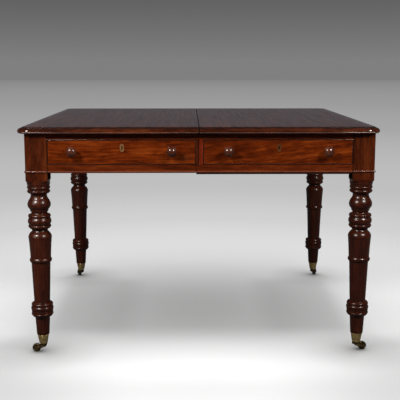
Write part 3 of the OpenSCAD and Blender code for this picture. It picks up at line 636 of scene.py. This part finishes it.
def dark_patch(finish, centre, reach):
    """Darkens a finish in a ragged patch about a place."""
    tree = finish.node_tree
    colour = tree.nodes["Principled BSDF"].inputs["Base Color"]
    place = add(tree, "TexCoord").outputs["Object"]
    shares = [1 / r for r in reach]
    sockets = {0: stretched(tree, place, shares), 1: [c * f for c, f in zip(centre, shares)]}
    away = add(tree, "VectorMath", sockets, operation="DISTANCE").outputs["Value"]
    ragged = summed(tree, (away, 1.0), (noise(tree, place, 90.0), 1.2))
    fade = mapped(tree, ragged, 1.9, 0.9, high=0.65)
    tree.links.new(mixed(tree, fade, colour.links[0].from_socket, (0.03, 0.009, 0.004)), colour)


dark_patch(front_polish["left"], centre=Vector((-47, -520, 657)) * MM, reach=Vector((30, 50, 11)) * MM)
# The cock beads are much darker than the fronts: partly dirt, and partly painted shade for the thin shadow
# line that they cast on the rails.
bead_polish_dirt_and_shade = mahogany(
    "cock_bead_mahogany", "x", deep=(0.016, 0.0036, 0.0015), heart=(0.034, 0.0078, 0.003),
    glow=(0.06, 0.015, 0.005), coat=0.22, shift=(0.1, 5.0, 0.4), figure=0.2, dirt_and_shade=0.7, gloss=1.8,
    ripple=0.05)
lining_timber = {
    grain: bare_timber(
        f"lining_timber_{grain}", grain, pale=(0.46, 0.3, 0.15), dark=(0.3, 0.17, 0.07), rough=0.6,
        shift=(0.2, 0.9, 3.0))
    for grain in ("x", "y")
}
lining_grain = {"drawer_sides": "y", "drawer_back": "x", "drawer_bottom": "x"}
bead_thickness = 3 * MM
bead_depth = 8 * MM
nose_steps = 10
nose = bead_thickness / 2
bead_section = [(0.0, bead_depth), (0.0, nose)]
for k in range(1, nose_steps):
    t = math.pi * k / nose_steps
    bead_section.append((nose - nose * math.cos(t), nose - nose * math.sin(t)))
bead_section += [(2 * nose, nose), (2 * nose, bead_depth)]
for half in HALVES:
    dress(nodes[f"drawer_front_{half}"], front_polish[half])
    for name, grain in lining_grain.items():
        dress(nodes[f"{name}_{half}"], lining_timber[grain])
    low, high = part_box(f"cock_beads_{half}")
    rings = []
    for cx, cz in ((0, 0), (1, 0), (1, 1), (0, 1)):
        corner = Vector(((low.x, high.x)[cx], low.y, (low.z, high.z)[cz]))
        inward = Vector((1 - 2 * cx, 0, 1 - 2 * cz))
        rings.append([corner + inward * across + Vector((0, deep, 0)) for across, deep in bead_section])
    beads = skin(f"cock_bead_frame_{half}", rings, looped=True)
    dress(beads, bead_polish_dirt_and_shade, f"drawer_{half}")
    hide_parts(f"cock_beads_{half}")

# Knobs. Each is turned from one piece of mahogany with a stem that is glued through the drawer
# front; the face is a low dome, and hands have kept it bright.
knob_polish = mahogany(
    "knob_mahogany", "y", deep=(0.04, 0.0096, 0.0045), heart=(0.078, 0.02, 0.0092),
    glow=(0.12, 0.037, 0.0175), coat=0.23, shift=(0.4, 0.4, 2.2), figure=0.3, rubbed=0.2,
    gloss=1.65, ripple=0.03)
knob_radius = 17
knob_inset = 80 * MM
inner_knob_inset = {"left": 77 * MM, "right": 82 * MM}
knob_up = 43 * MM
knob_pattern = [
    (axis_radius, -20, 0), (6, -20, 0), (6, 0, 0), (11.2, 0, 0.8), (10.5, 4, 0), (8.8, 5, -1),
    (7.8, 9.5, -1.4), (13.8, 14.2, 0.9), (knob_radius, 20.5, 0.6), (14, 26.5, 1.75), (0.3, 33, 0),
]
for half in HALVES:
    low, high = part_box(f"drawer_front_{half}")
    turned = []
    insets = [knob_inset, inner_knob_inset[half]]
    if half == "right":
        insets.reverse()
    for x in (low.x + insets[0], high.x - insets[1]):
        centre = Vector((x, low.y, low.z + knob_up))
        axes = ((1, 0, 0), (0, 0, 1), (0, -1, 0))
        turned.append(lathe("knob", turned_outline(knob_pattern), centre, axes))
    knobs = joined(f"turned_knobs_{half}", turned)
    dress(knobs, knob_polish, f"drawer_{half}")
    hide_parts(f"knobs_{half}")

# Locks. A brass plate is let in round each keyhole, and behind it a brass lock with one bolt is
# sunk into the back of the drawer front.
plate_brass = {
    "left": aged_brass("left_plate_brass", (0.42, 0.24, 0.1), (0.16, 0.075, 0.03), 0.55, 0.5),
    "right": aged_brass("right_plate_brass", (0.24, 0.1, 0.035), (0.11, 0.035, 0.012), 0.6, 0.6),
}
lock_brass = aged_brass("lock_brass", (0.5, 0.38, 0.17), (0.16, 0.11, 0.05), 0.35, 0.5)
for half in HALVES:
    dress(nodes[f"escutcheon_{half}"], plate_brass[half])
    dress(nodes[f"lock_case_{half}"], lock_brass)
    dress(nodes[f"lock_bolt_{half}"], lock_brass)

# The top. Two wide leaves of mahogany meet on the seam, with three pegs in the left one that line
# them up. Their edge is a sloping thumb over a round nose, and the flat is French polished to a
# mirror that shows faint marks of the rubber from front to back.
corner_radius = 45
corner_steps = 16
nose_radius = 7
thumb_width = 15
edge_step = 2.4
seam_arris = 1.1 * MM
peg_radius = 4.5
peg_depth = 12.5
peg_pitch = 340 * MM
top_polish = {
    half: mahogany(
        f"{half}_top_mahogany", "y", deep=(0.027, 0.0062, 0.0032), heart=(0.06, 0.0145, 0.0068),
        glow=(0.12, 0.035, 0.018), coat=0.1, shift=(0.6, shift, 0.2), figure=0.35, gloss=1.5,
        ripple=0.7, rubber_marks=0.3)
    for half, shift in (("left", 0.1), ("right", 2.7))
}
# The moulded edge is a darker copy of the top's polish: partly its duller, worn finish, and partly painted
# shade that keeps the strongly lit edge dark.
worn_and_shaded_edge_polish = mahogany(
    "edge_mahogany", "x", deep=(0.018, 0.0033, 0.0011), heart=(0.047, 0.009, 0.0024),
    glow=(0.105, 0.024, 0.0055), coat=0.06, shift=(1.6, 2.1, 0.2), figure=0.5, dirt_and_shade=0.9, gloss=1.7,
    ripple=0.05)
# The quirk of the moulding and the arrises on the seam are near black: dirt in the quirk and a dark joint
# at the seam, and painted shade in the quirk's step.
quirk_dirt_and_shade = mahogany(
    "quirk_dirt_and_shade", "x", deep=(0.008, 0.003, 0.002), heart=(0.014, 0.005, 0.003), glow=(0.026, 0.009, 0.005),
    coat=0.3, shift=(1.6, 2.1, 0.2), figure=0.4, dirt_and_shade=0.9)


def edge_section(inset=0.0):
    """The moulded edge as (reach outward, height) from the flat below to the one above, less inset."""
    t = top_thickness / MM
    rise = t - edge_step - nose_radius
    nose_middle = corner_radius - nose_radius
    section = [(0.0, 0.0), (nose_middle - 6, 0.0)]
    for degrees in range(0, 91, 6):
        a = math.radians(degrees)
        section.append((nose_middle + nose_radius * math.sin(a), nose_radius - nose_radius * math.cos(a)))
    for degrees in range(6, 91, 6):
        a = math.radians(degrees)
        section.append((corner_radius - thumb_width * (1 - math.cos(a)), nose_radius + rise * math.sin(a)))
    inner = corner_radius - thumb_width
    section += [(inner + 0.05, t - edge_step), (inner, t - edge_step + 0.1), (inner, t - 0.4),
                (inner - 0.1, t - 0.1), (inner - 0.4, t), (0.0, t)]
    section = [(u * MM, z * MM) for u, z in section]
    drawn_in = []
    for k, (u, z) in enumerate(section):
        u0, z0 = section[max(0, k - 1)]
        u1, z1 = section[min(len(section) - 1, k + 1)]
        length = math.hypot(u1 - u0, z1 - z0)
        along_edge = 0 if k in (0, len(section) - 1) else (z1 - z0) / length
        drawn_in.append((u - inset * along_edge, z + inset * (u1 - u0) / length))
    return drawn_in


def seam_of(half):
    """X of a leaf's face on the seam."""
    low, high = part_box(f"top_{half}")
    return high.x if half == "left" else low.x


def leaf(half):
    """One half of the top, swept round its three moulded sides."""
    low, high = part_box(f"top_{half}")
    reach = corner_radius * MM
    side = -1 if half == "left" else 1
    seam = seam_of(half)
    by_seam = seam + side * seam_arris
    x_in = (low.x + reach) if half == "left" else (high.x - reach)
    front = low.y + reach
    rear = high.y - reach
    stops = [(seam, front, -90, seam_arris), (by_seam, front, -90, 0)]
    stops += [(x_in, front, 90 * k / corner_steps - 90, 0) for k in range(corner_steps + 1)]
    stops += [(x_in, rear, 90 * k / corner_steps, 0) for k in range(corner_steps + 1)]
    stops += [(by_seam, rear, 90, 0), (seam, rear, 90, seam_arris)]
    rings = []
    for x, y, degrees, inset in stops:
        t = math.radians(degrees)
        outward = Vector((side * math.cos(t), math.sin(t), 0))
        corner = Vector((x, y, low.z))
        rings.append([corner + outward * u + Vector((0, 0, z)) for u, z in edge_section(inset)])
    mesh = bmesh.new()
    rows = [[mesh.verts.new(p) for p in ring] for ring in rings]
    for first, second in zip(rows, rows[1:]):
        for k in range(len(first) - 1):
            quad = []
            for v in (first[k], first[k + 1], second[k + 1], second[k]):
                if not any((v.co - w.co).length < 1e-7 for w in quad):
                    quad.append(v)
            if len(quad) > 2:
                mesh.faces.new(quad)
    for k in (0, -1):
        mesh.faces.new([rows[0][k], rows[1][k], rows[-2][k], rows[-1][k]])
        mesh.faces.new([rows[1][k], rows[2][k], rows[-3][k], rows[-2][k]])
    mesh.faces.new(rows[0] + rows[-1][::-1])
    bmesh.ops.remove_doubles(mesh, verts=mesh.verts, dist=1e-6)
    bmesh.ops.recalc_face_normals(mesh, faces=mesh.faces)
    return finished(f"moulded_leaf_{half}", mesh, 24)


def peg_bores(half):
    """Drills for the three peg holes in a leaf's seam face."""
    low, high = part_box(f"top_{half}")
    inward = -1 if half == "left" else 1
    reach = peg_depth if half == "left" else peg_depth + 1
    axes = ((0, 1, 0), (0, 0, 1), (inward, 0, 0))
    bores = []
    for k in (-1, 0, 1):
        mouth = Vector((seam_of(half), (low.y + high.y) / 2 + k * peg_pitch, (low.z + high.z) / 2))
        outline = [(peg_radius * MM, -1 * MM), (peg_radius * MM, reach * MM)]
        bores.append(lathe("bore", outline, mouth, axes, 32))
    return bores


def bored(piece, drill):
    """Cuts a drill's shape out of a piece."""
    cut = piece.modifiers.new("bore", "BOOLEAN")
    cut.operation = "DIFFERENCE"
    cut.object = drill
    worked = piece.evaluated_get(bpy.context.evaluated_depsgraph_get())
    mesh = bpy.data.meshes.new_from_object(worked)
    piece.modifiers.clear()
    piece.data = mesh
    bpy.data.objects.remove(drill)


leaves = []
on_edge = 1
in_quirk = 2
for half in HALVES:
    top = leaf(half)
    for bore in peg_bores(half):
        bored(top, bore)
    dress(top, top_polish[half], f"{half}_half")
    top.data.materials.append(worn_and_shaded_edge_polish)
    top.data.materials.append(quirk_dirt_and_shade)
    for face in top.data.polygons:
        under_flat = (table_height - face.center.z) / MM
        if abs(face.normal.x) > 0.9999:
            continue
        if abs(face.center.x - seam_of(half)) < seam_arris:
            face.material_index = in_quirk
        elif under_flat > 0.3:
            face.material_index = on_edge if under_flat > edge_step + 0.8 else in_quirk
    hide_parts(f"top_{half}")
    leaves.append(top)
peg_timber = bare_timber(
    "peg_timber", "x", pale=(0.4, 0.25, 0.12), dark=(0.25, 0.14, 0.06), rough=0.5, shift=(0.3, 0.3, 0.3))
dress(nodes["leaf_pegs"], peg_timber)

# The studio: a pale floor with painted light and shade on it, a backdrop that darkens upward, two
# soft boxes high in front, a window on the left, low cards that light the moulded edge, and broad
# fills from above and behind. The camera stands where the photograph's did.
floor_half = 40.0
mesh = bmesh.new()
for x, y in ((-1, -1), (1, -1), (1, 1), (-1, 1)):
    mesh.verts.new((x * floor_half, y * floor_half, 0))
mesh.faces.new(mesh.verts)
floor = finished("studio_floor", mesh)

finish, tree, shader = new_finish("floor_paint", Roughness=0.9)
shader.inputs["Specular IOR Level"].default_value = 0.0


def between(value, start, stop):
    """Rises smoothly from 0 at start to 1 at stop."""
    return mapped(tree, value, start, stop, smooth=True)


def both(*factors):
    """The product of factors."""
    total = factors[0]
    for factor in factors[1:]:
        total = add(tree, "Math", {0: total, 1: factor}, operation="MULTIPLY").outputs[0]
    return total


def rays(tree):
    """1 for rays from the camera, and 1 for all rays that show the scenery: these, gloss and glass."""
    seen = add(tree, "LightPath").outputs
    scenic = seen["Is Camera Ray"]
    for kind in ("Is Glossy Ray", "Is Transmission Ray"):
        scenic = add(tree, "Math", {0: scenic, 1: seen[kind]}, operation="MAXIMUM").outputs[0]
    return seen["Is Camera Ray"], scenic


place = add(tree, "TexCoord").outputs["Object"]
aside = add(tree, "Math", {0: coordinate(tree, place, "X")}, operation="ABSOLUTE").outputs[0]
along = coordinate(tree, place, "Y")
apart = add(tree, "VectorMath", {0: place}, operation="LENGTH").outputs["Value"]
# Painted falloff: the floor's colour darkens with distance from the table, standing in for light that fades
# away from the lamps.
painted_falloff_tone = ramp(
    tree, mapped(tree, apart, 0.0, floor_half), (0.02, grey(0.64)), (0.032, grey(0.57)),
    (0.046, grey(0.48)), (0.0645, grey(0.487)), (0.089, grey(0.523)), (0.12, grey(0.5)),
    (0.22, grey(0.39)), (0.4, grey(0.33)), (1.0, grey(0.24)))
# A painted pool of light on the floor in front of the table.
pool_of_light_centre = (0.0, -0.81, 0.0)
from_pool_of_light = add(tree, "VectorMath", {0: place, 1: pool_of_light_centre}, operation="DISTANCE").outputs["Value"]
painted_pool_of_light = mapped(tree, from_pool_of_light, 0.62, 0.15, high=0.24, smooth=True)
# Painted contact shadow: the floor darkens where the legs and castors close it in within 0.2 m.
touched = add(tree, "AmbientOcclusion", {"Distance": 0.2}, samples=8).outputs["AO"]
shade = ramp(tree, touched, (0.5, grey(0.35)), (0.9, grey(0.82)), (0.99, grey(1.0)))
near_tone = mixed(tree, 1.0, mixed(tree, painted_pool_of_light, painted_falloff_tone, grey(1.6)), shade, "MULTIPLY")
# Painted light and shade: the floor is lightened beside and in front of the table and darkened under its
# ends, to shape the table's shadow.
beside = both(between(aside, 0.48, 0.68), between(along, -0.47, -0.28), between(along, 0.62, 0.1))
painted_light_in_front = both(between(along, -0.2, -0.47), between(along, -0.85, -0.6), between(aside, 0.68, 0.4))
painted_shade_under_ends = both(
    between(aside, 0.18, 0.33), between(aside, 0.6, 0.52), between(along, -0.36, -0.24),
    between(along, 0.5, 0.36))
painted_light_and_shade = plus(tree, summed(tree, (beside, 0.25), (painted_light_in_front, 0.3), (painted_shade_under_ends, -0.14)), 1.0)
near_tone = add(tree, "VectorMath", {0: near_tone, "Scale": painted_light_and_shade}, operation="SCALE").outputs[0]
camera_ray, scenic_ray = rays(tree)
tree.links.new(mixed(tree, camera_ray, grey(0.07), near_tone), shader.inputs["Base Color"])
# The far floor is not lit: from 1.6 m to 3.6 m away it turns into a glow of the painted falloff tone for
# the camera, and in reflections it glows dimmer, darkest toward the front.
plain = both(scenic_ray, between(apart, 1.6, 3.6))
dimmed = both(mapped(tree, along, -1.5, 1.0, low=0.07), 0.2)
level = mixed(tree, camera_ray, dimmed, grey(1.0))
glow = add(tree, "Emission", {"Color": mixed(tree, 1.0, painted_falloff_tone, level, "MULTIPLY"), "Strength": 1.0})
blended = add(tree, "MixShader", {0: plain, 1: shader.outputs[0], 2: glow.outputs[0]})
tree.links.new(blended.outputs[0], tree.nodes["Material Output"].inputs["Surface"])
floor.data.materials.append(finish)

world = bpy.data.worlds.new("studio_world")
bpy.context.scene.world = world
world.use_nodes = True
tree = world.node_tree
tree.nodes.clear()
facing = add(tree, "TexCoord").outputs["Generated"]
backdrop = ramp(
    tree, coordinate(tree, facing, "Z"), (0.0, grey(0.215)), (0.025, grey(0.178)), (0.048, grey(0.147)),
    (0.068, grey(0.124)), (0.14, grey(0.075)), (0.35, grey(0.05)))
camera_ray, scenic_ray = rays(tree)
behind = mapped(tree, coordinate(tree, facing, "Y"), -0.4, 0.3, low=0.07)
cool = mixed(tree, 1.0, behind, (0.86, 0.82, 0.9), "MULTIPLY")
level = mixed(tree, camera_ray, cool, grey(1.0))
ambient = add(tree, "Background", {"Color": (*grey(1.0), 1), "Strength": 0.07})
scenery = add(tree, "Background", {"Color": mixed(tree, 1.0, backdrop, level, "MULTIPLY"), "Strength": 1.0})
sky = add(tree, "MixShader", {0: scenic_ray, 1: ambient.outputs[0], 2: scenery.outputs[0]})
out = add(tree, "OutputWorld")
tree.links.new(sky.outputs[0], out.inputs["Surface"])

lamp_colour = (1.0, 0.915, 0.85)


def soft_box(name, place, aim, width, height, power, shape="RECTANGLE"):
    """A panel of soft light that faces its aim."""
    lamp = bpy.data.lights.new(name, "AREA")
    lamp.color = lamp_colour
    lamp.shape = shape
    lamp.size = width
    lamp.size_y = height
    lamp.energy = power
    made = bpy.data.objects.new(name, lamp)
    made.location = place
    made.rotation_euler = (Vector(aim) - Vector(place)).to_track_quat("-Z", "Y").to_euler()
    made.visible_camera = False
    bpy.context.scene.collection.objects.link(made)
    return made


key_left = soft_box("key_left", (-1.5, -1.95, 2.05), (0, -0.4, 0.5), 0.72, 0.52, 49, "ELLIPSE")
key_right = soft_box("key_right", (1.5, -1.95, 2.05), (0, -0.4, 0.5), 0.64, 0.48, 41, "ELLIPSE")
window = soft_box("window", (-1.9, -1.9, 1.5), (-0.5, -0.5, 0.5), 1.3, 1.0, 12)
overhead = soft_box("overhead", (0, -0.6, 3.0), (0, -0.2, 0), 3.0, 2.4, 8)
fill = soft_box("fill", (0, -1.5, 2.8), (0, -0.3, 0.5), 2.8, 0.5, 10)
strip = soft_box("strip", (0, -1.5, 2.8), (0, -0.3, 0.5), 2.8, 0.5, 9)
floor_light = soft_box("floor_light", (0, -0.3, 3.5), (0, -0.3, 0), 18, 18, 1500)
cards = [
    soft_box("middle_card", (0, -1.0, 0.15), (0, -0.55, 0.72), 1.5, 0.07, 1.5),
    soft_box("left_card", (-1.0, -0.98, 0.22), (-0.6, -0.55, 0.72), 0.9, 0.08, 3.0),
    soft_box("right_card", (1.0, -0.98, 0.22), (0.6, -0.55, 0.72), 0.9, 0.08, 4.4),
]
rear_fill = soft_box("rear_fill", (0.7, 2.6, 2.0), (0, 0.3, 0.5), 2.4, 1.4, 34)
for lamp in (overhead, fill, rear_fill, floor_light):
    lamp.visible_glossy = False
floor_light.data.color = (1, 1, 1)


def group_of(name, pieces, state="INCLUDE"):
    """A group of pieces that a lamp lights, or with EXCLUDE one that it leaves out."""
    group = bpy.data.collections.new(name)
    for index, piece in enumerate(pieces):
        group.objects.link(piece)
        group.collection_objects[index].light_linking.link_state = state
    return group


left_legs = [leg for leg in legs if "left" in leg.name]
lit = [
    ((key_left, key_right, overhead), group_of("all_but_floor", [floor], "EXCLUDE")),
    ((fill, rear_fill), group_of("below_top", [floor, *leaves], "EXCLUDE")),
    (cards, group_of("only_leaves", leaves)),
    ((floor_light,), group_of("only_floor", [floor])),
    ((strip,), group_of("only_legs", legs)),
    ((window,), group_of("left_legs", left_legs)),
]
for lamps, group in lit:
    for lamp in lamps:
        lamp.light_linking.receiver_collection = group

camera = bpy.data.cameras.new("camera")
camera.lens = 74.51
camera.sensor_width = 36
viewer = bpy.data.objects.new("camera", camera)
viewer.location = (-0.0327, -3.1603, 0.9625)
viewer.rotation_euler = (math.radians(80.474), 0, math.radians(-0.772))
bpy.context.scene.collection.objects.link(viewer)
bpy.context.scene.camera = viewer
bpy.context.scene.view_settings.view_transform = "Standard"
